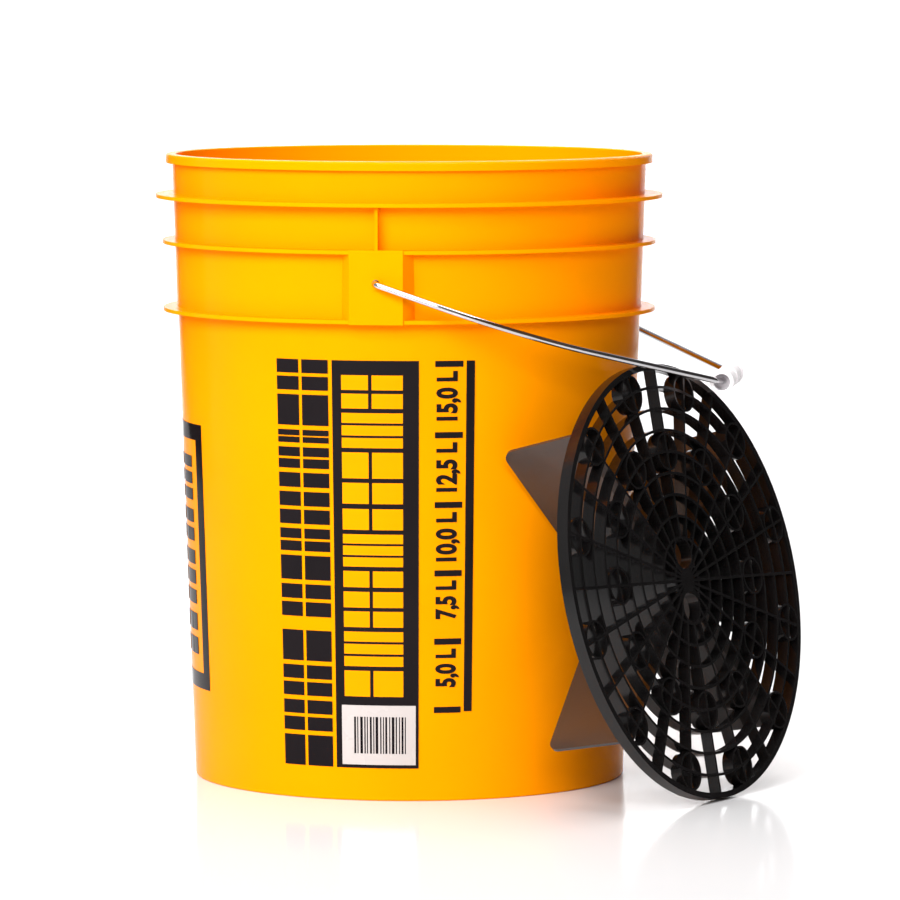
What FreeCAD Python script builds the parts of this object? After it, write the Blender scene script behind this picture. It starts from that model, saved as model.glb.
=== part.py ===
import FreeCAD, Part
import math
import os
import Sketcher

# Twenty-litre wash bucket with a swinging bail and a loose grit guard.
# Row frame: origin under the bucket on the floor, Z up, bail pivot along Y.
# The bail lies over to +X and the guard leans on the bucket below it.

SIZES = {
    # Bucket wall and floor
    "height": 395.0,
    "base_radius": 136.4,
    "step_radius": 146.5,
    "step_top_radius": 147.3,
    "neck_radius": 150.2,
    "wall": 2.3,
    "floor_top": 14.0,
    "floor_thickness": 2.6,
    "foot_width": 3.4,
    "foot_edge_fillet": 1.2,
    # Rim lip
    "lip_radius": 154.3,
    "lip_depth": 5.6,
    "lip_fillet": 1.4,
    "mouth_fillet": 0.8,
    # Stiffening flanges, lowest first
    "flange_thickness": 3.0,
    "flange_draft": 0.35,
    "low_flange_z": 295.5,
    "low_flange_radius": 156.0,
    "mid_flange_z": 338.1,
    "mid_flange_radius": 156.4,
    "top_flange_z": 367.0,
    "top_flange_radius": 160.7,
    # Bail lugs
    "lug_face": 156.2,
    "lug_face_half": 16.5,
    "lug_root": 146.2,
    "lug_root_half": 22.3,
    "lug_skin": 2.4,
    "lug_cavity_half": 13.0,
    "lug_cavity_root": 149.4,
    "lug_cavity_top": 335.2,
    "pivot_z": 320.6,
    "lug_hole_radius": 2.5,
    "lug_collar_radius": 4.2,
    "lug_collar_height": 0.5,
    "lug_rib_width": 2.0,
    # Underside
    "hub_pad_radius": 14.0,
    "under_rib_width": 2.0,
    "under_rib_lift": 3.0,
    "under_rib_count": 8,
    # Bail
    "wire_radius": 2.0,
    "wire_head_radius": 3.7,
    "wire_head_length": 1.7,
    "wire_head_start": 151.4,
    "bail_shoulder": 162.0,
    "bail_corner_x": 99.9,
    "bail_corner_y": 173.4,
    "bail_reach": 213.0,
    "bail_straight": 38.5,
    "bail_eye_bend": 4.5,
    "bail_side_bend": 110.0,
    "bail_grip_bend": 18.0,
    "bail_drop": 18.2,
    # Grip
    "grip_half_length": 41.0,
    "grip_flange_radius": 7.6,
    "grip_middle_radius": 7.2,
    "grip_flange_width": 3.0,
    "grip_barrel_radius": 6.3,
    "grip_bore_radius": 2.08,
    "grip_mouth_radius": 5.2,
    "grip_mouth_depth": 11.5,
    "grip_fillet": 0.8,
    # Grit guard
    "guard_radius": 136.2,
    "guard_depth": 7.5,
    "guard_rim": 3.8,
    "guard_rib_half": 0.9,
    "guard_ring_step": 13.5,
    "guard_ring_count": 9,
    "guard_spoke_count": 24,
    "guard_tube_radius": 12.0,
    "guard_tube_wall": 1.4,
    "guard_inner_tubes": 81.0,
    "guard_outer_tubes": 121.5,
    "guard_hub_tube_radius": 10.8,
    "guard_hub_tubes": 16.6,
    "fin_thickness": 2.0,
    "fin_height": 54.5,
    "fin_foot_radius": 130.6,
    "fin_root_radius": 133.6,
    "fin_corner": 8.0,
    "fin_start": 1.6,
    "guard_x": 179.0,
    "guard_y": -89.0,
    "guard_azimuth": -25.0,
    "guard_lean": 12.3,
    "guard_spin": -3.0,
    # Printed films
    "film": 0.3,
    "sticker": 0.2,
}

doc = FreeCAD.newDocument("wash_bucket")
sheet = doc.addObject("Spreadsheet::Sheet", "dims")
for row, (alias, value) in enumerate(SIZES.items(), start=1):
    sheet.set("A%d" % row, alias)
    sheet.set("B%d" % row, str(value))
    sheet.setAlias("B%d" % row, alias)
doc.recompute()

AXES = {"X": FreeCAD.Vector(1, 0, 0), "Y": FreeCAD.Vector(0, 1, 0), "Z": FreeCAD.Vector(0, 0, 1)}


def amount(formula):
    """Number that a sum such as 'height - lip_depth' stands for."""
    total = 0.0
    sign = 1.0
    for word in formula.split():
        if word == "+":
            sign = 1.0
        elif word == "-":
            sign = -1.0
        elif word in SIZES:
            total += sign * SIZES[word]
        else:
            total += sign * float(word)
    return total


def cells(formula):
    """The same sum as an expression on the sheet's cells."""
    return " ".join("dims." + word if word in SIZES else word for word in formula.split())


def origin_feature(body, role):
    for feature in body.Origin.OriginFeatures:
        if feature.Role == role:
            return feature
    raise ValueError(role)


def new_body(label):
    body = doc.addObject("PartDesign::Body", label)
    body.Label = label
    return body


def new_sketch(body, name, plane, offset="0", reverse=False):
    """Sketch on an origin plane, moved along the plane's normal by offset."""
    sketch = body.newObject("Sketcher::SketchObject", name)
    sketch.AttachmentSupport = [(origin_feature(body, plane + "_Plane"), "")]
    sketch.MapMode = "FlatFace"
    sketch.MapReversed = reverse
    sketch.setExpression(".AttachmentOffset.Base.z", cells(offset))
    return sketch


def pin_point(sketch, geometry, point, across, upward):
    """Tie one sketch point to its two sheet sums."""
    for kind, formula in (("DistanceX", across), ("DistanceY", upward)):
        if formula == "0":
            on_axis = -2 if kind == "DistanceX" else -1
            sketch.addConstraint(Sketcher.Constraint("PointOnObject", geometry, point, on_axis))
            continue
        index = sketch.addConstraint(
            Sketcher.Constraint(kind, -1, 1, geometry, point, amount(formula))
        )
        sketch.setExpression("Constraints[%d]" % index, cells(formula))


def draw_outline(sketch, corners):
    """Closed straight-sided outline through corners given as sheet sums."""
    first = sketch.GeometryCount
    spots = [FreeCAD.Vector(amount(a), amount(b), 0) for a, b in corners]
    count = len(spots)
    for k in range(count):
        sketch.addGeometry(Part.LineSegment(spots[k], spots[(k + 1) % count]), False)
    for k in range(count):
        sketch.addConstraint(
            Sketcher.Constraint("Coincident", first + k, 2, first + (k + 1) % count, 1)
        )
    for k, (across, upward) in enumerate(corners):
        pin_point(sketch, first + k, 1, across, upward)


def draw_circle(sketch, radius, across="0", upward="0"):
    """Circle with its centre and radius given as sheet sums."""
    centre = FreeCAD.Vector(amount(across), amount(upward), 0)
    index = sketch.addGeometry(Part.Circle(centre, AXES["Z"], amount(radius)), False)
    pin_point(sketch, index, 3, across, upward)
    tie = sketch.addConstraint(Sketcher.Constraint("Radius", index, amount(radius)))
    sketch.setExpression("Constraints[%d]" % tie, cells(radius))


def feature(body, kind, name, sketch, **values):
    made = body.newObject("PartDesign::" + kind, name)
    made.Profile = sketch
    for key, value in values.items():
        setattr(made, key, value)
    sketch.Visibility = False
    return made


def pad(body, name, sketch, length, reverse=False):
    made = feature(body, "Pad", name, sketch, Reversed=reverse)
    made.setExpression("Length", cells(length))
    return made


def polar(body, name, originals, count):
    made = body.newObject("PartDesign::PolarPattern", name)
    made.Originals = originals
    made.Axis = (origin_feature(body, "Z_Axis"), [""])
    made.Angle = 360.0
    made.setExpression("Occurrences", cells(count))
    body.Tip = made
    return made


def fillet(body, name, radius, wanted):
    """Round every edge of the body's tip that wanted(edge) picks."""
    doc.recompute()
    base = body.Tip
    names = ["Edge%d" % (k + 1) for k, edge in enumerate(base.Shape.Edges) if wanted(edge)]
    made = body.newObject("PartDesign::Fillet", name)
    made.Base = (base, names)
    made.setExpression("Radius", cells(radius))
    body.Tip = made
    return made


def ring_edge(radius, z, slack=0.05):
    """Test for full circles about Z with this radius at this height."""

    def test(edge):
        curve = edge.Curve
        if not isinstance(curve, Part.Circle):
            return False
        return abs(curve.Radius - radius) < slack and abs(curve.Center.z - z) < slack

    return test


# ---------------------------------------------------------------- bucket


def wall_radius(z):
    """Outer radius of the tapered wall below the lowest flange."""
    rise = (SIZES["step_radius"] - SIZES["base_radius"]) / SIZES["low_flange_z"]
    return SIZES["base_radius"] + rise * z


def flange(name, root):
    """Outline of one flange from its tip's lower corner to its upper root."""
    tip = name + "_flange_radius"
    low = name + "_flange_z"
    return [
        (tip, low + " + flange_draft"),
        (tip, low + " + flange_thickness - flange_draft"),
        (root, low + " + flange_thickness"),
    ]


def build_bucket():
    body = new_body("bucket_shell")
    profile = new_sketch(body, "bucket_profile", "XZ")
    outside = [
        ("base_radius - foot_width", "0"),
        ("base_radius", "0"),
        ("step_radius", "low_flange_z"),
    ]
    outside += flange("low", "step_top_radius")
    outside.append(("step_top_radius + 1.2", "mid_flange_z"))
    outside += flange("mid", "step_top_radius + 1.3")
    outside.append(("step_top_radius + 2.1", "top_flange_z"))
    outside += flange("top", "step_top_radius + 2.2")
    outside += [
        ("neck_radius", "height - lip_depth"),
        ("lip_radius", "height - lip_depth"),
        ("lip_radius", "height"),
    ]
    inside = [
        ("neck_radius - wall", "height"),
        ("step_top_radius - wall", "low_flange_z + flange_thickness"),
        ("step_radius - wall", "low_flange_z"),
        ("base_radius - wall", "floor_top"),
        ("0", "floor_top"),
        ("0", "floor_top - floor_thickness"),
        ("base_radius - foot_width", "floor_top - floor_thickness"),
    ]
    draw_outline(profile, outside + inside)
    feature(
        body, "Revolution", "bucket_wall", profile,
        ReferenceAxis=(origin_feature(body, "Z_Axis"), [""]), Angle=360.0,
    )

    # A trapezoid box between the two lower flanges carries the bail eye.
    plan = new_sketch(body, "lug_plan", "XY", "low_flange_z")
    plan_corners = [
        ("0 - lug_root_half", "0 - lug_root"),
        ("lug_root_half", "0 - lug_root"),
        ("lug_face_half", "0 - lug_face"),
        ("0 - lug_face_half", "0 - lug_face"),
    ]
    draw_outline(plan, plan_corners)
    lug = pad(body, "lug", plan, "mid_flange_z + flange_thickness - low_flange_z")

    collar_sketch = new_sketch(body, "lug_collar_circle", "XZ", "lug_face - 1")
    draw_circle(collar_sketch, "lug_collar_radius", "0", "pivot_z")
    collar = pad(body, "lug_collar", collar_sketch, "1 + lug_collar_height")

    rib_sketch = new_sketch(body, "lug_rib_side", "YZ")
    rib_corners = [
        ("1 - neck_radius", "mid_flange_z + flange_thickness"),
        ("1 - neck_radius", "top_flange_z"),
        ("0.4 - mid_flange_radius", "top_flange_z"),
        ("0.4 - mid_flange_radius", "mid_flange_z + flange_thickness"),
    ]
    draw_outline(rib_sketch, rib_corners)
    rib = pad(body, "lug_rib", rib_sketch, "lug_rib_width")
    rib.SideType = "Symmetric"

    # The lug is cored out from below, and the eye opens into the hollow.
    core_sketch = new_sketch(body, "lug_core_plan", "XY", "low_flange_z - 1")
    core_corners = [
        ("0 - lug_cavity_half", "0 - lug_cavity_root"),
        ("lug_cavity_half", "0 - lug_cavity_root"),
        ("lug_cavity_half", "lug_skin - lug_face"),
        ("0 - lug_cavity_half", "lug_skin - lug_face"),
    ]
    draw_outline(core_sketch, core_corners)
    core = feature(body, "Pocket", "lug_core", core_sketch, Reversed=True)
    core.setExpression("Length", cells("lug_cavity_top + 1 - low_flange_z"))

    hole_sketch = new_sketch(body, "lug_hole_circle", "XZ", "lug_face + 2")
    draw_circle(hole_sketch, "lug_hole_radius", "0", "pivot_z")
    hole = feature(body, "Pocket", "lug_hole", hole_sketch)
    hole.setExpression("Length", cells("lug_skin + 3"))
    polar(body, "lug_pair", [lug, collar, rib, core, hole], "2")

    # Underside ribs join the centre pad to the foot ring.
    pad_sketch = new_sketch(body, "hub_pad_circle", "XY")
    draw_circle(pad_sketch, "hub_pad_radius")
    pad(body, "hub_pad", pad_sketch, "floor_top - 1")
    under_sketch = new_sketch(body, "under_rib_side", "XZ")
    under_corners = [
        ("hub_pad_radius - 2", "under_rib_lift"),
        ("base_radius - foot_width + 1", "under_rib_lift"),
        ("base_radius - foot_width + 1", "floor_top - 1"),
        ("hub_pad_radius - 2", "floor_top - 1"),
    ]
    draw_outline(under_sketch, under_corners)
    under = pad(body, "under_rib", under_sketch, "under_rib_width")
    under.SideType = "Symmetric"
    polar(body, "under_ribs", [under], "under_rib_count")

    # Moulded edges
    fillet(body, "lip_edge", "lip_fillet", ring_edge(amount("lip_radius"), amount("height")))
    mouth = ring_edge(amount("neck_radius - wall"), amount("height"))
    fillet(body, "mouth_edge", "mouth_fillet", mouth)
    fillet(body, "foot_edge", "foot_edge_fillet", ring_edge(amount("base_radius"), 0.0))
    return body


# ------------------------------------------------------------------ bail


def bend(before, corner, after, radius):
    """Tangent arc that rounds a corner: its start, middle and end points."""
    back = (before - corner).normalize()
    ahead = (after - corner).normalize()
    half = back.getAngle(ahead) / 2
    reach = radius / math.tan(half)
    start = corner + back * reach
    end = corner + ahead * reach
    inward = (back + ahead).normalize()
    middle = corner + inward * (radius / math.sin(half) - radius)
    return start, middle, end


def build_bail():
    """Wire in the XY plane of its own frame, swinging about Y."""
    body = new_body("bail_wire")
    half = [
        ("0", "wire_head_start", None),
        ("0", "bail_shoulder", "bail_eye_bend"),
        ("bail_corner_x", "bail_corner_y", "bail_side_bend"),
        ("bail_reach", "bail_straight", "bail_grip_bend"),
    ]
    points = [(FreeCAD.Vector(amount(a), -amount(b), 0), c) for a, b, c in half]
    points += [(FreeCAD.Vector(p.x, -p.y, 0), c) for p, c in reversed(points)]
    path = new_sketch(body, "bail_route", "XY")
    here = points[0][0]
    for k in range(1, len(points) - 1):
        corner = points[k][0]
        start, middle, end = bend(points[k - 1][0], corner, points[k + 1][0], amount(points[k][1]))
        path.addGeometry(Part.LineSegment(here, start), False)
        path.addGeometry(Part.Arc(start, middle, end), False)
        here = end
    path.addGeometry(Part.LineSegment(here, points[-1][0]), False)
    section = new_sketch(body, "bail_section", "XZ", "wire_head_start")
    draw_circle(section, "wire_radius")
    sweep = feature(body, "AdditivePipe", "bail_sweep", section)
    doc.recompute()
    sweep.Spine = (path, ["Edge%d" % (k + 1) for k in range(path.GeometryCount)])

    # An upset head inside each lug keeps the wire from pulling out.
    for name, reverse in (("near", False), ("far", True)):
        head_sketch = new_sketch(body, name + "_head_circle", "XZ", "wire_head_start", reverse)
        if reverse:
            head_sketch.setExpression(".AttachmentOffset.Base.z", cells("wire_head_start"))
        draw_circle(head_sketch, "wire_head_radius")
        pad(body, name + "_head", head_sketch, "wire_head_length")
    body.setExpression(".Placement.Base.z", "dims.pivot_z")
    body.Placement.Rotation = FreeCAD.Rotation(AXES["Y"], amount("bail_drop"))
    return body


def build_grip():
    """Spool that turns on the straight part of the wire."""
    body = new_body("bail_grip")
    profile = new_sketch(body, "grip_profile", "XY")
    flange = "grip_half_length - grip_flange_width"
    right = [
        ("grip_bore_radius", "grip_half_length - grip_mouth_depth"),
        ("grip_mouth_radius", "grip_half_length - grip_mouth_depth"),
        ("grip_mouth_radius", "grip_half_length"),
        ("grip_flange_radius", "grip_half_length"),
        ("grip_flange_radius", flange),
        ("grip_barrel_radius", flange),
        ("grip_barrel_radius", "grip_flange_width - 1.4"),
        ("grip_middle_radius", "grip_flange_width - 1.4"),
    ]
    mirrored = [(r, mirror_sum(y)) for r, y in reversed(right)]
    draw_outline(profile, right + mirrored)
    feature(
        body, "Revolution", "grip_spool", profile,
        ReferenceAxis=(origin_feature(body, "Y_Axis"), [""]), Angle=360.0,
    )
    outer = amount("grip_flange_radius")
    middle = amount("grip_middle_radius")

    def flange_edge(edge):
        curve = edge.Curve
        if not isinstance(curve, Part.Circle):
            return False
        return abs(curve.Radius - outer) < 0.01 or abs(curve.Radius - middle) < 0.01

    fillet(body, "grip_edges", "grip_fillet", flange_edge)
    drop = math.radians(amount("bail_drop"))
    reach = amount("bail_reach")
    place = FreeCAD.Vector(reach * math.cos(drop), 0, amount("pivot_z") - reach * math.sin(drop))
    body.Placement = FreeCAD.Placement(place, FreeCAD.Rotation(AXES["Y"], amount("bail_drop")))
    return body


def mirror_sum(formula):
    """Sum with every sign turned over."""
    words = formula.split()
    if words[0] not in "+-":
        words.insert(0, "+")
    flipped = [{"+": "-", "-": "+"}.get(word, word) for word in words]
    return "0 " + " ".join(flipped)


# ----------------------------------------------------------------- guard


def guard_placement():
    """Back edge on the floor, front face turned out and tipped up."""
    lean = amount("guard_lean")
    lift = amount("guard_radius") * math.cos(math.radians(lean))
    turn = FreeCAD.Rotation(AXES["Z"], amount("guard_azimuth"))
    tip = FreeCAD.Rotation(AXES["Y"], 90.0 - lean)
    spin = FreeCAD.Rotation(AXES["Z"], amount("guard_spin"))
    spot = FreeCAD.Vector(amount("guard_x"), amount("guard_y"), lift)
    return FreeCAD.Placement(spot, turn * tip * spin)


def build_grille():
    """Disc of concentric rings, radial ribs and short round tubes."""
    body = new_body("guard_grille")
    spoke_sketch = new_sketch(body, "spoke_plan", "XY")
    spoke_corners = [
        ("0", "0 - guard_rib_half"),
        ("guard_radius - 1", "0 - guard_rib_half"),
        ("guard_radius - 1", "guard_rib_half"),
        ("0", "guard_rib_half"),
    ]
    draw_outline(spoke_sketch, spoke_corners)
    spoke = pad(body, "spoke", spoke_sketch, "guard_depth")
    polar(body, "spokes", [spoke], "guard_spoke_count")

    ring_sketch = new_sketch(body, "ring_plan", "XY")
    for k in range(1, int(SIZES["guard_ring_count"]) + 1):
        step = " + ".join(["guard_ring_step"] * k)
        draw_circle(ring_sketch, step + " - guard_rib_half")
        draw_circle(ring_sketch, step + " + guard_rib_half")
    draw_circle(ring_sketch, "guard_radius - guard_rim")
    draw_circle(ring_sketch, "guard_radius")
    pad(body, "rings", ring_sketch, "guard_depth")

    rows = (
        ("inner", "guard_inner_tubes", "guard_tube_radius", 0, 12),
        ("outer", "guard_outer_tubes", "guard_tube_radius", 15, 12),
        ("hub", "guard_hub_tubes", "guard_hub_tube_radius", 0, 2),
    )
    for name, distance, radius, turn, count in rows:
        tube_sketch = new_sketch(body, name + "_tube_plan", "XY")
        tube_sketch.AttachmentOffset.Rotation = FreeCAD.Rotation(AXES["Z"], turn)
        for k in range(count):
            angle = 2 * math.pi * k / count
            for rim in (amount(radius), amount(radius) - amount("guard_tube_wall")):
                spot = FreeCAD.Vector(math.cos(angle), math.sin(angle), 0) * amount(distance)
                tube_sketch.addGeometry(Part.Circle(spot, AXES["Z"], rim), False)
        pad(body, name + "_tubes", tube_sketch, "guard_depth")

    # The two tubes above and below the hub are open: no rib runs through them.
    bore_sketch = new_sketch(body, "hub_bore_plan", "XY")
    for side in (1, -1):
        spot = FreeCAD.Vector(side * amount("guard_hub_tubes"), 0, 0)
        inside = amount("guard_hub_tube_radius") - amount("guard_tube_wall")
        bore_sketch.addGeometry(Part.Circle(spot, AXES["Z"], inside), False)
    bores = feature(body, "Pocket", "hub_bores", bore_sketch)
    bores.Type = "ThroughAll"
    bores.Midplane = True
    body.Placement = guard_placement()
    return body


def build_fin(number):
    """Flat plate under one diagonal spoke; the four make a cross."""
    body = new_body("guard_fin_%d" % number)
    side = new_sketch(body, "fin_side_%d" % number, "XZ")
    side_corners = [
        ("fin_start", "0"),
        ("fin_root_radius", "0"),
        ("fin_foot_radius", "0 - fin_height"),
        ("fin_start", "0 - fin_height"),
    ]
    draw_outline(side, side_corners)
    plate = pad(body, "fin_plate_%d" % number, side, "fin_thickness")
    plate.SideType = "Symmetric"
    foot = amount("fin_foot_radius")
    drop = amount("fin_height")

    def outer_corner(edge):
        centre = edge.CenterOfMass
        return abs(centre.x - foot) < 0.1 and abs(centre.z + drop) < 0.1

    fillet(body, "fin_corner_%d" % number, "fin_corner", outer_corner)
    turn = FreeCAD.Placement(FreeCAD.Vector(), FreeCAD.Rotation(AXES["Z"], 45.0 + 90.0 * (number - 1)))
    body.Placement = guard_placement() * turn
    return body


# ----------------------------------------------------------------- films


def wall_patch(name, start, span, low, high, lift=0.0, thickness="film"):
    """Thin patch that follows the tapered wall between two angles and heights.

    Angles are measured from the near lug (-Y) towards +X.
    """
    sketch = doc.addObject("Sketcher::SketchObject", name + "_side")
    sketch.Placement = FreeCAD.Placement(FreeCAD.Vector(), FreeCAD.Rotation(AXES["X"], 90))
    inner_low = wall_radius(low) + lift
    inner_high = wall_radius(high) + lift
    corners = [
        ("%.4f" % inner_low, "%.4f" % low),
        ("%.4f + %s" % (inner_low, thickness), "%.4f" % low),
        ("%.4f + %s" % (inner_high, thickness), "%.4f" % high),
        ("%.4f" % inner_high, "%.4f" % high),
    ]
    draw_outline(sketch, corners)
    patch = doc.addObject("Part::Revolution", name)
    patch.Source = sketch
    patch.Axis = AXES["Z"]
    patch.Base = FreeCAD.Vector()
    patch.Angle = span
    patch.Solid = True
    patch.Placement = FreeCAD.Placement(FreeCAD.Vector(), FreeCAD.Rotation(AXES["Z"], start - 90.0))
    return patch


def film_group(label, patches):
    group = doc.addObject("Part::Compound", label)
    group.Label = label
    group.Links = patches
    return group


# Print areas: angles in degrees from the near lug towards +X, heights in mm.
PRINT_LOW = 20.5
PRINT_HIGH = 273.0
HEADING = (-26.6, -12.6)
PANEL = (-11.6, 9.8)
STICKER = (-10.0, 9.05, 22.6, 59.6)
SCALE_BAR = (21.4, 23.5, 55.7)
TICK = (13.7, 20.6, 3.7)
TICK_HEIGHTS = (56.9, 99.4, 141.8, 184.1, 227.2, 271.1)
FRAME = (-122.6, -57.4, 58.8, 226.6)
FRAME_LINE_ANGLE = 4.0
FRAME_LINE = 10.0
HEADING_BLOCKS = 8
BLOCK_GAP = 5.0


def build_heading():
    patches = []
    pitch = (PRINT_HIGH - PRINT_LOW + BLOCK_GAP) / HEADING_BLOCKS
    for k in range(HEADING_BLOCKS):
        low = PRINT_LOW + k * pitch
        span = HEADING[1] - HEADING[0]
        patches.append(wall_patch("heading_block_%d" % k, HEADING[0], span, low, low + pitch - BLOCK_GAP))
    return film_group("heading_print", patches)


def build_scale():
    start, stop, low = SCALE_BAR
    patches = [wall_patch("scale_bar", start, stop - start, low, PRINT_HIGH)]
    left, right, line = TICK
    for k, level in enumerate(TICK_HEIGHTS):
        name = "scale_tick_%d" % k
        patches.append(wall_patch(name, left, right - left, level - line / 2, level + line / 2))
    return film_group("scale_print", patches)


def build_frame():
    left, right, low, high = FRAME
    span = right - left
    side = FRAME_LINE_ANGLE
    patches = [
        wall_patch("frame_top", left, span, high - FRAME_LINE, high),
        wall_patch("frame_bottom", left, span, low, low + FRAME_LINE),
        wall_patch("frame_left", left, side, low + FRAME_LINE, high - FRAME_LINE),
        wall_patch("frame_right", right - side, side, low + FRAME_LINE, high - FRAME_LINE),
    ]
    return film_group("side_print", patches)


def build_single(label, start, stop, low, high, lift=0.0, thickness="film"):
    patch = wall_patch(label + "_patch", start, stop - start, low, high, lift, thickness)
    return film_group(label, [patch])


parts = [build_bucket(), build_bail(), build_grip(), build_grille()]
parts += [build_fin(number) for number in (1, 2, 3, 4)]
parts += [build_heading(), build_scale(), build_frame()]
parts.append(build_single("panel_print", PANEL[0], PANEL[1], PRINT_LOW, PRINT_HIGH))
parts.append(build_single("barcode_sticker", *STICKER, lift=SIZES["film"], thickness="sticker"))
doc.recompute()

for item in doc.Objects:
    if "Invalid" in item.State or "Error" in item.State:
        raise RuntimeError("%s failed: %s" % (item.Name, item.State))
os.makedirs("parts", exist_ok=True)
for part in parts:
    shape = part.Shape
    if shape.isNull() or not shape.isValid():
        raise RuntimeError(part.Label + " has no valid shape")
    print("%-16s solids %2d volume %10.1f" % (part.Label, len(shape.Solids), shape.Volume))
    shape.exportStep(os.path.join("parts", part.Label + ".step"))
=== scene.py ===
import math

import bmesh
import bpy
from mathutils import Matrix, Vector


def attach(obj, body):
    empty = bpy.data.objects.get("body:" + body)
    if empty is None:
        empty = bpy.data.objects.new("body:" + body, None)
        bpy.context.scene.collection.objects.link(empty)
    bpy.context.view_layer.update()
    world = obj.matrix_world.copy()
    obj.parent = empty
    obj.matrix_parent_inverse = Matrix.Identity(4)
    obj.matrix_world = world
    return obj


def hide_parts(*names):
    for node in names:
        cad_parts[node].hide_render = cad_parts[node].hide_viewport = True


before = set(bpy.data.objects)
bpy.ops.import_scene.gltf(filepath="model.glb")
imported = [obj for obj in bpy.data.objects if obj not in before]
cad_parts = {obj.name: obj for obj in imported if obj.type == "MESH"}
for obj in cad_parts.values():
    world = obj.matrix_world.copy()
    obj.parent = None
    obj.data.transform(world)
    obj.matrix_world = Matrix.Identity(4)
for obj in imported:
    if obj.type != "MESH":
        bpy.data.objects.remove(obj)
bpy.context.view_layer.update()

MM = 0.001

# ---------------------------------------------------------------- node helpers


def node(tree, kind, **values):
    """New shader node; values go to its properties, or to its inputs by name."""
    made = tree.nodes.new(kind)
    for key, value in values.items():
        label = key.replace("_", " ")
        if label in made.inputs:
            made.inputs[label].default_value = value
        else:
            setattr(made, key, value)
    return made


def new_material(name, **constants):
    """Material with a Principled shader; constants are set on its own sockets."""
    material = bpy.data.materials.new(name)
    material.use_nodes = True
    tree = material.node_tree
    shader = tree.nodes["Principled BSDF"]
    for key, value in constants.items():
        shader.inputs[key.replace("_", " ")].default_value = value
    return material, tree, shader


# Scales of the noise that all plastics share, per metre, and the heights of its bumps in metres
DRIFT_SCALE = 14.0
GLOSS_SCALE = 60.0
WAVE_SCALE = 16.0
WAVE_HEIGHT = 0.002
GRAIN_SCALE = 2200.0
GRAIN_HEIGHT = 0.0001


def noise(tree, scale, detail=3.0):
    """Noise in the row frame's own metres, so that its grain has a real size."""
    coords = node(tree, "ShaderNodeTexCoord")
    grain = node(tree, "ShaderNodeTexNoise", Scale=scale, Detail=detail)
    tree.links.new(coords.outputs["Object"], grain.inputs["Vector"])
    return grain.outputs["Fac"]


def spread(tree, source, low, high, start=0.3, end=0.7):
    """Maps a noise value to a range of numbers."""
    ranged = node(tree, "ShaderNodeMapRange")
    for name, value in (("From Min", start), ("From Max", end), ("To Min", low), ("To Max", high)):
        ranged.inputs[name].default_value = value
    tree.links.new(source, ranged.inputs["Value"])
    return ranged.outputs["Result"]


def blend_colors(tree, source, first, second):
    """Colour ramp between two colours."""
    ramp = node(tree, "ShaderNodeValToRGB")
    ramp.color_ramp.elements[0].position = 0.3
    ramp.color_ramp.elements[1].position = 0.7
    ramp.color_ramp.elements[0].color = (*first, 1)
    ramp.color_ramp.elements[1].color = (*second, 1)
    tree.links.new(source, ramp.inputs["Fac"])
    return ramp.outputs["Color"]


def bump(tree, shader, source, strength, distance):
    """Adds a bump on top of any that the shader has already."""
    made = node(tree, "ShaderNodeBump", Strength=strength, Distance=distance)
    tree.links.new(source, made.inputs["Height"])
    if shader.inputs["Normal"].is_linked:
        tree.links.new(shader.inputs["Normal"].links[0].from_socket, made.inputs["Normal"])
    tree.links.new(made.outputs["Normal"], shader.inputs["Normal"])


def plastic(name, first, second, rough, grain, wave=0.0, **constants):
    """Moulded plastic: slight colour drift, uneven gloss, fine mould grain and slow waves."""
    material, tree, shader = new_material(name, **constants)
    tint = blend_colors(tree, noise(tree, DRIFT_SCALE), first, second)
    tree.links.new(tint, shader.inputs["Base Color"])
    gloss = spread(tree, noise(tree, GLOSS_SCALE, 5.0), *rough)
    tree.links.new(gloss, shader.inputs["Roughness"])
    if wave:
        bump(tree, shader, noise(tree, WAVE_SCALE, 1.0), wave, WAVE_HEIGHT)
    bump(tree, shader, noise(tree, GRAIN_SCALE, 2.0), grain, GRAIN_HEIGHT)
    return material


YELLOW_GLOSS = (1.0, 0.7, 0.2, 1.0)
YELLOW = plastic(
    "bucket_yellow", (0.98, 0.30, 0.0), (0.96, 0.285, 0.0), (0.14, 0.20), 0.05, 0.04,
    IOR=1.12, Specular_Tint=YELLOW_GLOSS,
)
INK = plastic(
    "print_ink", (0.006, 0.004, 0.005), (0.009, 0.006, 0.007), (0.07, 0.12), 0.04, IOR=1.2
)
INK_YELLOW = plastic(
    "print_reserve", (0.98, 0.30, 0.0), (0.95, 0.285, 0.0), (0.10, 0.16), 0.04,
    IOR=1.2, Specular_Tint=YELLOW_GLOSS,
)
BLACK = plastic(
    "guard_black", (0.003, 0.003, 0.003), (0.007, 0.006, 0.006), (0.12, 0.20), 0.10, 0.03,
    IOR=1.38,
)
FIN_BLACK = plastic(
    "fin_black", (0.020, 0.016, 0.015), (0.028, 0.023, 0.021), (0.14, 0.22), 0.06, 0.04,
    Specular_IOR_Level=0.6,
)
WHITE = plastic("grip_white", (0.88, 0.85, 0.87), (0.83, 0.80, 0.825), (0.18, 0.28), 0.06)
PAPER = plastic("label_paper", (0.505, 0.46, 0.445), (0.475, 0.43, 0.415), (0.22, 0.32), 0.08)


def chrome():
    """Drawn and plated wire: a fine bump grain and a little uneven polish."""
    material, tree, shader = new_material("bail_chrome", Metallic=1.0)
    tint = blend_colors(tree, noise(tree, 40.0), (0.46, 0.45, 0.46), (0.60, 0.59, 0.60))
    tree.links.new(tint, shader.inputs["Base Color"])
    polish = spread(tree, noise(tree, 300.0, 4.0), 0.03, 0.10)
    tree.links.new(polish, shader.inputs["Roughness"])
    bump(tree, shader, noise(tree, 900.0, 3.0), 0.08, 0.0002)
    return material


CHROME = chrome()

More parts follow.
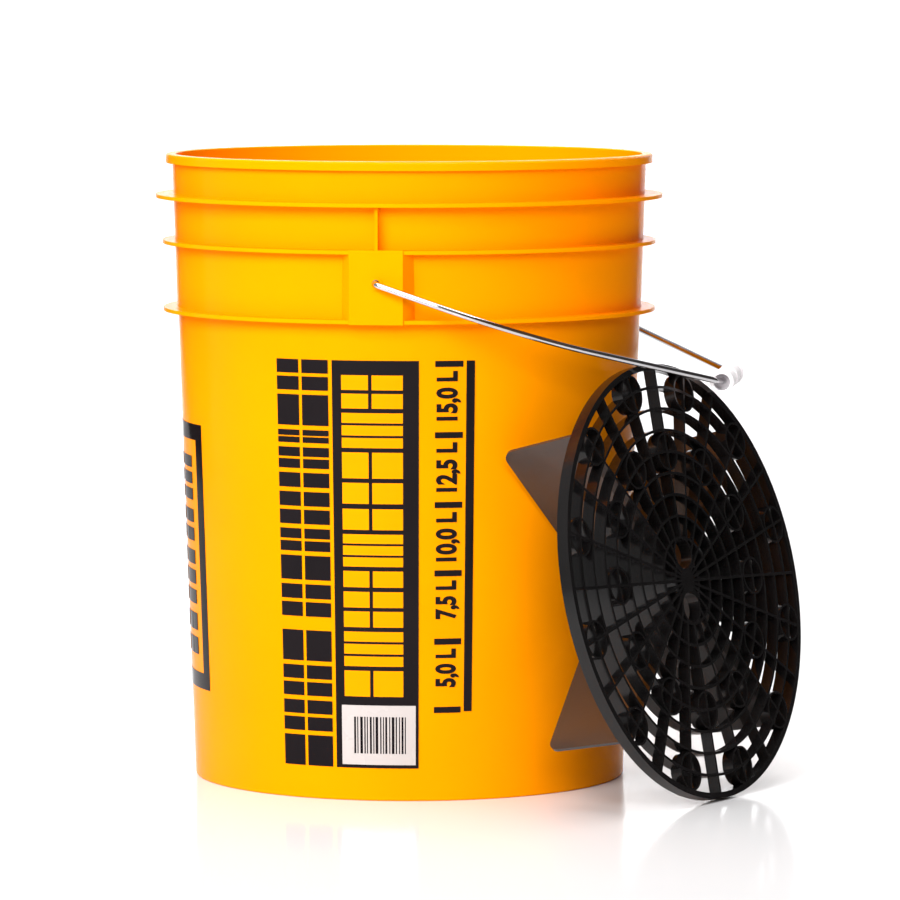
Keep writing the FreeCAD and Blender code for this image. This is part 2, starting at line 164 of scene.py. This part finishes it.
# ------------------------------------------------------------------- CAD nodes

LOOKS = {
    "bucket_shell": YELLOW,
    "bail_wire": CHROME,
    "bail_grip": WHITE,
    "panel_print": INK,
    "barcode_sticker": PAPER,
    "guard_grille": BLACK,
}
SMOOTH_BELOW = math.radians(32)


def smooth(mesh, angle=SMOOTH_BELOW):
    """Rounds the shading of a mesh except at its real edges."""
    mesh.polygons.foreach_set("use_smooth", [True] * len(mesh.polygons))
    mesh.set_sharp_from_angle(angle=angle)


for name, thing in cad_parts.items():
    look = LOOKS.get(name, FIN_BLACK if name.startswith("guard") else INK)
    thing.data.materials.clear()
    thing.data.materials.append(look)
    smooth(thing.data)

# ---------------------------------------------------------- print on the wall

WALL_BASE = 136.4  # the wall's radius at the floor in mm, and how much it grows per mm of height
WALL_SLOPE = 0.03435
FILM = 0.3  # thickness of the print in mm; the sticker and what lies on them are thinner
STICKER_FILM = 0.2
PANEL_BLOCK_FILM = 0.06
BAR_FILM = 0.05
ARC_STEP = 1.5  # degrees between a film's columns


def on_wall(angle, z, lift):
    """Point on the wall, in metres, from an angle, a height and a distance off the wall.

    The angle is in degrees from the near lug towards +X; the other two are in mm.
    """
    radius = WALL_BASE + WALL_SLOPE * z + lift
    turn = math.radians(angle)
    return Vector((radius * math.sin(turn), -radius * math.cos(turn), z)) * MM


def add_patch(bm, left, right, low, high, lift, thick):
    """Closed film with the wall's curve."""
    count = max(1, math.ceil((right - left) / ARC_STEP))
    columns = []
    for k in range(count + 1):
        angle = left + (right - left) * k / count
        columns.append([
            bm.verts.new(on_wall(angle, z, lift + out))
            for z, out in ((low, 0.0), (high, 0.0), (high, thick), (low, thick))
        ])
    for a, b in zip(columns, columns[1:]):
        for i in range(4):
            j = (i + 1) % 4
            bm.faces.new((a[i], b[i], b[j], a[j]))
    bm.faces.new(columns[0])
    bm.faces.new(reversed(columns[-1]))


def finish_piece(bm, name, material, body, slot, *replaced):
    """Makes a piece from a mesh, in place, parents it to the body it rides on and hides the CAD
    parts that it replaces.
    """
    bmesh.ops.recalc_face_normals(bm, faces=bm.faces)
    mesh = bpy.data.meshes.new(name)
    bm.to_mesh(mesh)
    bm.free()
    mesh.materials.append(material)
    smooth(mesh)
    piece = bpy.data.objects.new(name, mesh)
    bpy.context.scene.collection.objects.link(piece)
    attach(piece, body)
    if replaced:
        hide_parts(*replaced)
    return piece


def film(name, patches, lift, thick, material, slot, *replaced):
    """Piece of printed film made of several patches (left, right, low, high)."""
    bm = bmesh.new()
    for patch in patches:
        add_patch(bm, *patch, lift, thick)
    return finish_piece(bm, name, material, "bucket", slot, *replaced)


BRICK_WIDTH = 0.88


def hatched(left, right, top, widths, gap, fill=0.72, styles=(3, 2, 1)):
    """Column of blocks from the top down, cut into bricks: a plain stand-in for words.

    A style is the number of rows in a block; three rows are stripes, fewer are bricks. A width
    below zero leaves a space.
    """
    patches = []
    high = top
    for k, width in enumerate(widths):
        rows = styles[k % len(styles)]
        columns = 1 if rows == 3 else 2
        pitch = width / (rows - 1 + fill)
        span = (right - left) / columns
        for row in range(rows if width > 0 else 0):
            foot = high - row * pitch - pitch * fill
            for column in range(columns):
                start = left + span * column
                stop = right if column == columns - 1 else start + span * BRICK_WIDTH
                patches.append((start, stop, foot, foot + pitch * fill))
        high -= abs(width) + gap
    return patches


HEADING_WIDTHS = (19, 19, 8, 13, 9, 20, 14, 15, 20, -3, 19, 19, 19, 19)
PANEL_WIDTHS = (20.5, 21.5, 16, 29, 20, 10, 22, 21.5, 16)
BLOCK_GAP = 2.8
BLOCK_FILL = 0.8
film(
    "heading_blocks",
    hatched(-26.6, -12.6, 273.0, HEADING_WIDTHS, BLOCK_GAP, BLOCK_FILL, (2, 1, 2)),
    0.0, FILM, INK, "print_black", "heading_print",
)
film(
    "panel_blocks",
    hatched(-9.2, 5.9, 264.0, PANEL_WIDTHS, BLOCK_GAP, BLOCK_FILL, (2, 3, 1)),
    FILM, PANEL_BLOCK_FILM, INK_YELLOW, "bucket_yellow",
)

# Bars of the label, all generic
BAR_WIDTHS = (0.50, 0.28, 0.68, 0.34, 0.28)
BAR_GAPS = (0.32, 0.50, 0.38)
BAR_COUNT = 17
BAR_START = -6.8
BAR_LOW, BAR_HIGH = 29.6, 52.5
bars = []
left = BAR_START
for k in range(BAR_COUNT):
    right = left + BAR_WIDTHS[k % len(BAR_WIDTHS)]
    bars.append((left, right, BAR_LOW, BAR_HIGH))
    left = right + BAR_GAPS[k % len(BAR_GAPS)]
film("label_bars", bars, FILM + STICKER_FILM, BAR_FILM, INK, "print_black")

# Litre scale: height of each mark, its numerals and their length, in mm
LITRES = (
    (99.4, "5,0 L", 24.0),
    (141.8, "7,5 L", 24.0),
    (184.1, "10,0 L", 30.5),
    (227.2, "12,5 L", 30.5),
    (271.1, "15,0 L", 30.5),
)
LOWEST_MARK = 56.9
TICK_LEFT, TICK_RIGHT, TICK_HALF = 13.7, 20.6, 1.85
marks = [(21.4, 23.5, 55.7, 273.0)]
for z in (LOWEST_MARK, *[z for z, _, _ in LITRES]):
    marks.append((TICK_LEFT, TICK_RIGHT, z - TICK_HALF, z + TICK_HALF))
film("scale_marks", marks, 0.0, FILM, INK, "print_black", "scale_print")


NUMERAL_BOLDNESS = 0.042
NUMERAL_TOP, NUMERAL_FOOT = 14.0, 19.3  # degrees round the wall
NUMERAL_DROP = 4.4  # mm from a mark down to the end of its numerals
COMMA_TAIL = -0.05  # the comma's tail, below this, isn't part of a numeral's height
SLICES = 8  # cuts across the numerals, so that they can bend


def add_text(bm, words, length, end_z):
    """Numerals that read upwards, bent onto the wall; their last letter ends at end_z."""
    font = bpy.data.curves.new("numerals", "FONT")
    font.body = words
    font.size = 1.0
    font.offset = NUMERAL_BOLDNESS
    holder = bpy.data.objects.new("numerals", font)
    bpy.context.scene.collection.objects.link(holder)
    graph = bpy.context.evaluated_depsgraph_get()
    flat = bmesh.new()
    mesh = bpy.data.meshes.new_from_object(holder.evaluated_get(graph))
    flat.from_mesh(mesh)
    bpy.data.objects.remove(holder)
    low = min(v.co.y for v in flat.verts if v.co.y > COMMA_TAIL)
    high = max(v.co.y for v in flat.verts)
    right = max(v.co.x for v in flat.verts)
    scale = length / (right - min(v.co.x for v in flat.verts))
    for k in range(1, SLICES):
        everything = flat.verts[:] + flat.edges[:] + flat.faces[:]
        bmesh.ops.bisect_plane(
            flat, geom=everything, dist=1e-5, plane_no=(0, 1, 0),
            plane_co=(0, low + (high - low) * k / SLICES, 0),
        )
    flat.verts.index_update()
    rim = [edge.verts[:] for edge in flat.edges if edge.is_boundary]
    inner = flat.verts[:]
    outer = [flat.verts.new(v.co) for v in inner]
    for face in flat.faces[:]:
        flat.faces.new([outer[v.index] for v in face.verts])
    for a, b in rim:
        flat.faces.new((a, b, outer[b.index], outer[a.index]))
    for layer, lift in ((inner, 0.0), (outer, FILM)):
        for v in layer:
            angle = NUMERAL_FOOT - (v.co.y - low) / (high - low) * (NUMERAL_FOOT - NUMERAL_TOP)
            v.co = on_wall(angle, end_z + (v.co.x - right) * scale, lift)
    done = bpy.data.meshes.new("numeral_part")
    flat.to_mesh(done)
    flat.free()
    bm.from_mesh(done)


numerals = bmesh.new()
for z, words, length in LITRES:
    add_text(numerals, words, length, z - NUMERAL_DROP)
finish_piece(numerals, "scale_numerals", INK, "bucket", "print_black")

# Framed panel on the left side, with plain blocks in it
FRAME_LEFT, FRAME_RIGHT = -122.6, -57.4
FRAME_LOW, FRAME_HIGH = 58.8, 226.6
FRAME_LINE, LINE_ANGLE = 10.0, 4.0
SIDE_WIDTHS = (28, 20, 34, 26)
SIDE_COLUMNS = 4
SIDE_PITCH = 13
frame_bars = [
    (FRAME_LEFT, FRAME_RIGHT, FRAME_LOW, FRAME_LOW + FRAME_LINE),
    (FRAME_LEFT, FRAME_RIGHT, FRAME_HIGH - FRAME_LINE, FRAME_HIGH),
    (FRAME_LEFT, FRAME_LEFT + LINE_ANGLE, FRAME_LOW + FRAME_LINE, FRAME_HIGH - FRAME_LINE),
    (FRAME_RIGHT - LINE_ANGLE, FRAME_RIGHT, FRAME_LOW + FRAME_LINE, FRAME_HIGH - FRAME_LINE),
]
for k in range(SIDE_COLUMNS):
    shift = SIDE_PITCH * k
    frame_bars += hatched(-114.0 + shift, -104.5 + shift, 206.0, SIDE_WIDTHS, 6.0, 0.7, (3, 2))
film("side_blocks", frame_bars, 0.0, FILM, INK, "print_black", "side_print")

# ---------------------------------------------------------- floor and backdrop

FLOOR_HALF = 6.0
BACK_Y = 5.0
BACK_HEIGHT = 5.0
BEND = 1.2
BEND_STEPS = 16


def set_stage(bm, name, material):
    """Makes a piece of the studio, which isn't part of the object, from a mesh."""
    mesh = bpy.data.meshes.new(name)
    bm.to_mesh(mesh)
    bm.free()
    smooth(mesh)
    mesh.materials.append(material)
    thing = bpy.data.objects.new(name, mesh)
    bpy.context.scene.collection.objects.link(thing)
    return thing


def make_floor():
    """Floor that turns up into a backdrop well behind the bucket."""
    bm = bmesh.new()
    line = [(-FLOOR_HALF, 0.0), (BACK_Y - BEND, 0.0)]
    for k in range(1, BEND_STEPS + 1):
        turn = math.pi / 2 * k / BEND_STEPS
        line.append((BACK_Y - BEND + BEND * math.sin(turn), BEND - BEND * math.cos(turn)))
    line.append((BACK_Y, BACK_HEIGHT))
    rows = [[bm.verts.new((x, y, z)) for x in (-FLOOR_HALF, FLOOR_HALF)] for y, z in line]
    for a, b in zip(rows, rows[1:]):
        bm.faces.new((a[0], a[1], b[1], b[0]))
    material, tree, shader = new_material("studio_white", IOR=1.3)
    shade = blend_colors(tree, noise(tree, 0.8), (0.79, 0.79, 0.80), (0.765, 0.765, 0.775))
    tree.links.new(shade, shader.inputs["Base Color"])
    tree.links.new(spread(tree, noise(tree, 3.0), 0.10, 0.16), shader.inputs["Roughness"])
    set_stage(bm, "studio_floor", material)


make_floor()

# Dark cards, each as a line on the floor and a height, in metres
CARD_FOOT = 0.02
RIGHT_BOW = [math.radians(-8 + 11 * k) for k in range(9)]
CARDS = (
    ([(1.5 - 0.25 * math.sin(turn), -0.3 + 0.5 * k) for k, turn in enumerate(RIGHT_BOW)], 1.9),
    ([(1.25, -1.2), (1.35, -0.8), (1.45, -0.4)], 0.42),
    ([(-1.3, 0.4), (-1.32, 1.2), (-1.42, 2.2), (-1.6, 3.5)], 1.9),
)


def make_cards():
    """Dark cards beyond both edges of the picture, which keep light off the bucket's sides.

    The low one, in front on the right, gives the plated wire its dark line.
    """
    bm = bmesh.new()
    for line, top in CARDS:
        rows = [[bm.verts.new((x, y, z)) for z in (CARD_FOOT, top)] for x, y in line]
        for a, b in zip(rows, rows[1:]):
            bm.faces.new((a[0], b[0], b[1], a[1]))
    material, tree, shader = new_material("flag_cloth", Roughness=0.9)
    shade = blend_colors(tree, noise(tree, 30.0), (0.020, 0.018, 0.018), (0.030, 0.028, 0.028))
    tree.links.new(shade, shader.inputs["Base Color"])
    set_stage(bm, "studio_flag", material).visible_camera = False


make_cards()

# ------------------------------------------------------------ light and camera


def soft_light(name, place, target, width, height, power, mirrored=True):
    """Large rectangular studio light; an unmirrored one leaves no highlight."""
    lamp = bpy.data.lights.new(name, "AREA")
    lamp.shape = "RECTANGLE"
    lamp.size = width
    lamp.size_y = height
    lamp.energy = power
    holder = bpy.data.objects.new(name, lamp)
    holder.location = place
    holder.visible_glossy = mirrored
    holder.rotation_euler = (Vector(target) - Vector(place)).to_track_quat("-Z", "Y").to_euler()
    bpy.context.scene.collection.objects.link(holder)


MIDDLE = (0.0, 0.0, 0.2)
soft_light("key_left", (-1.5, -3.0, 2.1), MIDDLE, 2.2, 2.0, 146.0)
soft_light("top", (-0.3, 0.0, 2.6), MIDDLE, 2.6, 2.6, 80.0)
soft_light("fill_front", (0.5, -4.1, 1.9), MIDDLE, 2.4, 1.4, 106.0, mirrored=False)
soft_light("back_wash", (-0.7, 3.2, 2.4), (-0.6, 5.0, 0.5), 2.0, 1.0, 80.0)

LEFT_LIGHT = (0.42, 0.42, 0.42)
RIGHT_LIGHT = (0.12, 0.07, 0.04)


def make_world():
    """Room that is bright on the left, dim and warm on the right."""
    world = bpy.data.worlds.new("studio_world")
    bpy.context.scene.world = world
    world.use_nodes = True
    tree = world.node_tree
    coords = node(tree, "ShaderNodeTexCoord")
    split = node(tree, "ShaderNodeSeparateXYZ")
    tree.links.new(coords.outputs["Generated"], split.inputs["Vector"])
    side = spread(tree, split.outputs["X"], 0.0, 1.0, -0.7, 0.6)
    light = blend_colors(tree, side, LEFT_LIGHT, RIGHT_LIGHT)
    tree.links.new(light, tree.nodes["Background"].inputs["Color"])


make_world()

VIEW_TURN = math.radians(7.108)
VIEW_PITCH = math.radians(4.919)
VIEW_PLACE = (0.4933, -3.7473, 0.5311)
camera_data = bpy.data.cameras.new("camera")
camera_data.sensor_width = 36.0
camera_data.lens = 238.27
camera_data.clip_end = 50.0
camera = bpy.data.objects.new("camera", camera_data)
camera.location = VIEW_PLACE
forward = Vector((
    -math.sin(VIEW_TURN) * math.cos(VIEW_PITCH),
    math.cos(VIEW_TURN) * math.cos(VIEW_PITCH),
    -math.sin(VIEW_PITCH),
))
camera.rotation_euler = forward.to_track_quat("-Z", "Y").to_euler()
bpy.context.scene.collection.objects.link(camera)
bpy.context.scene.camera = camera
bpy.context.scene.view_settings.view_transform = "Standard"
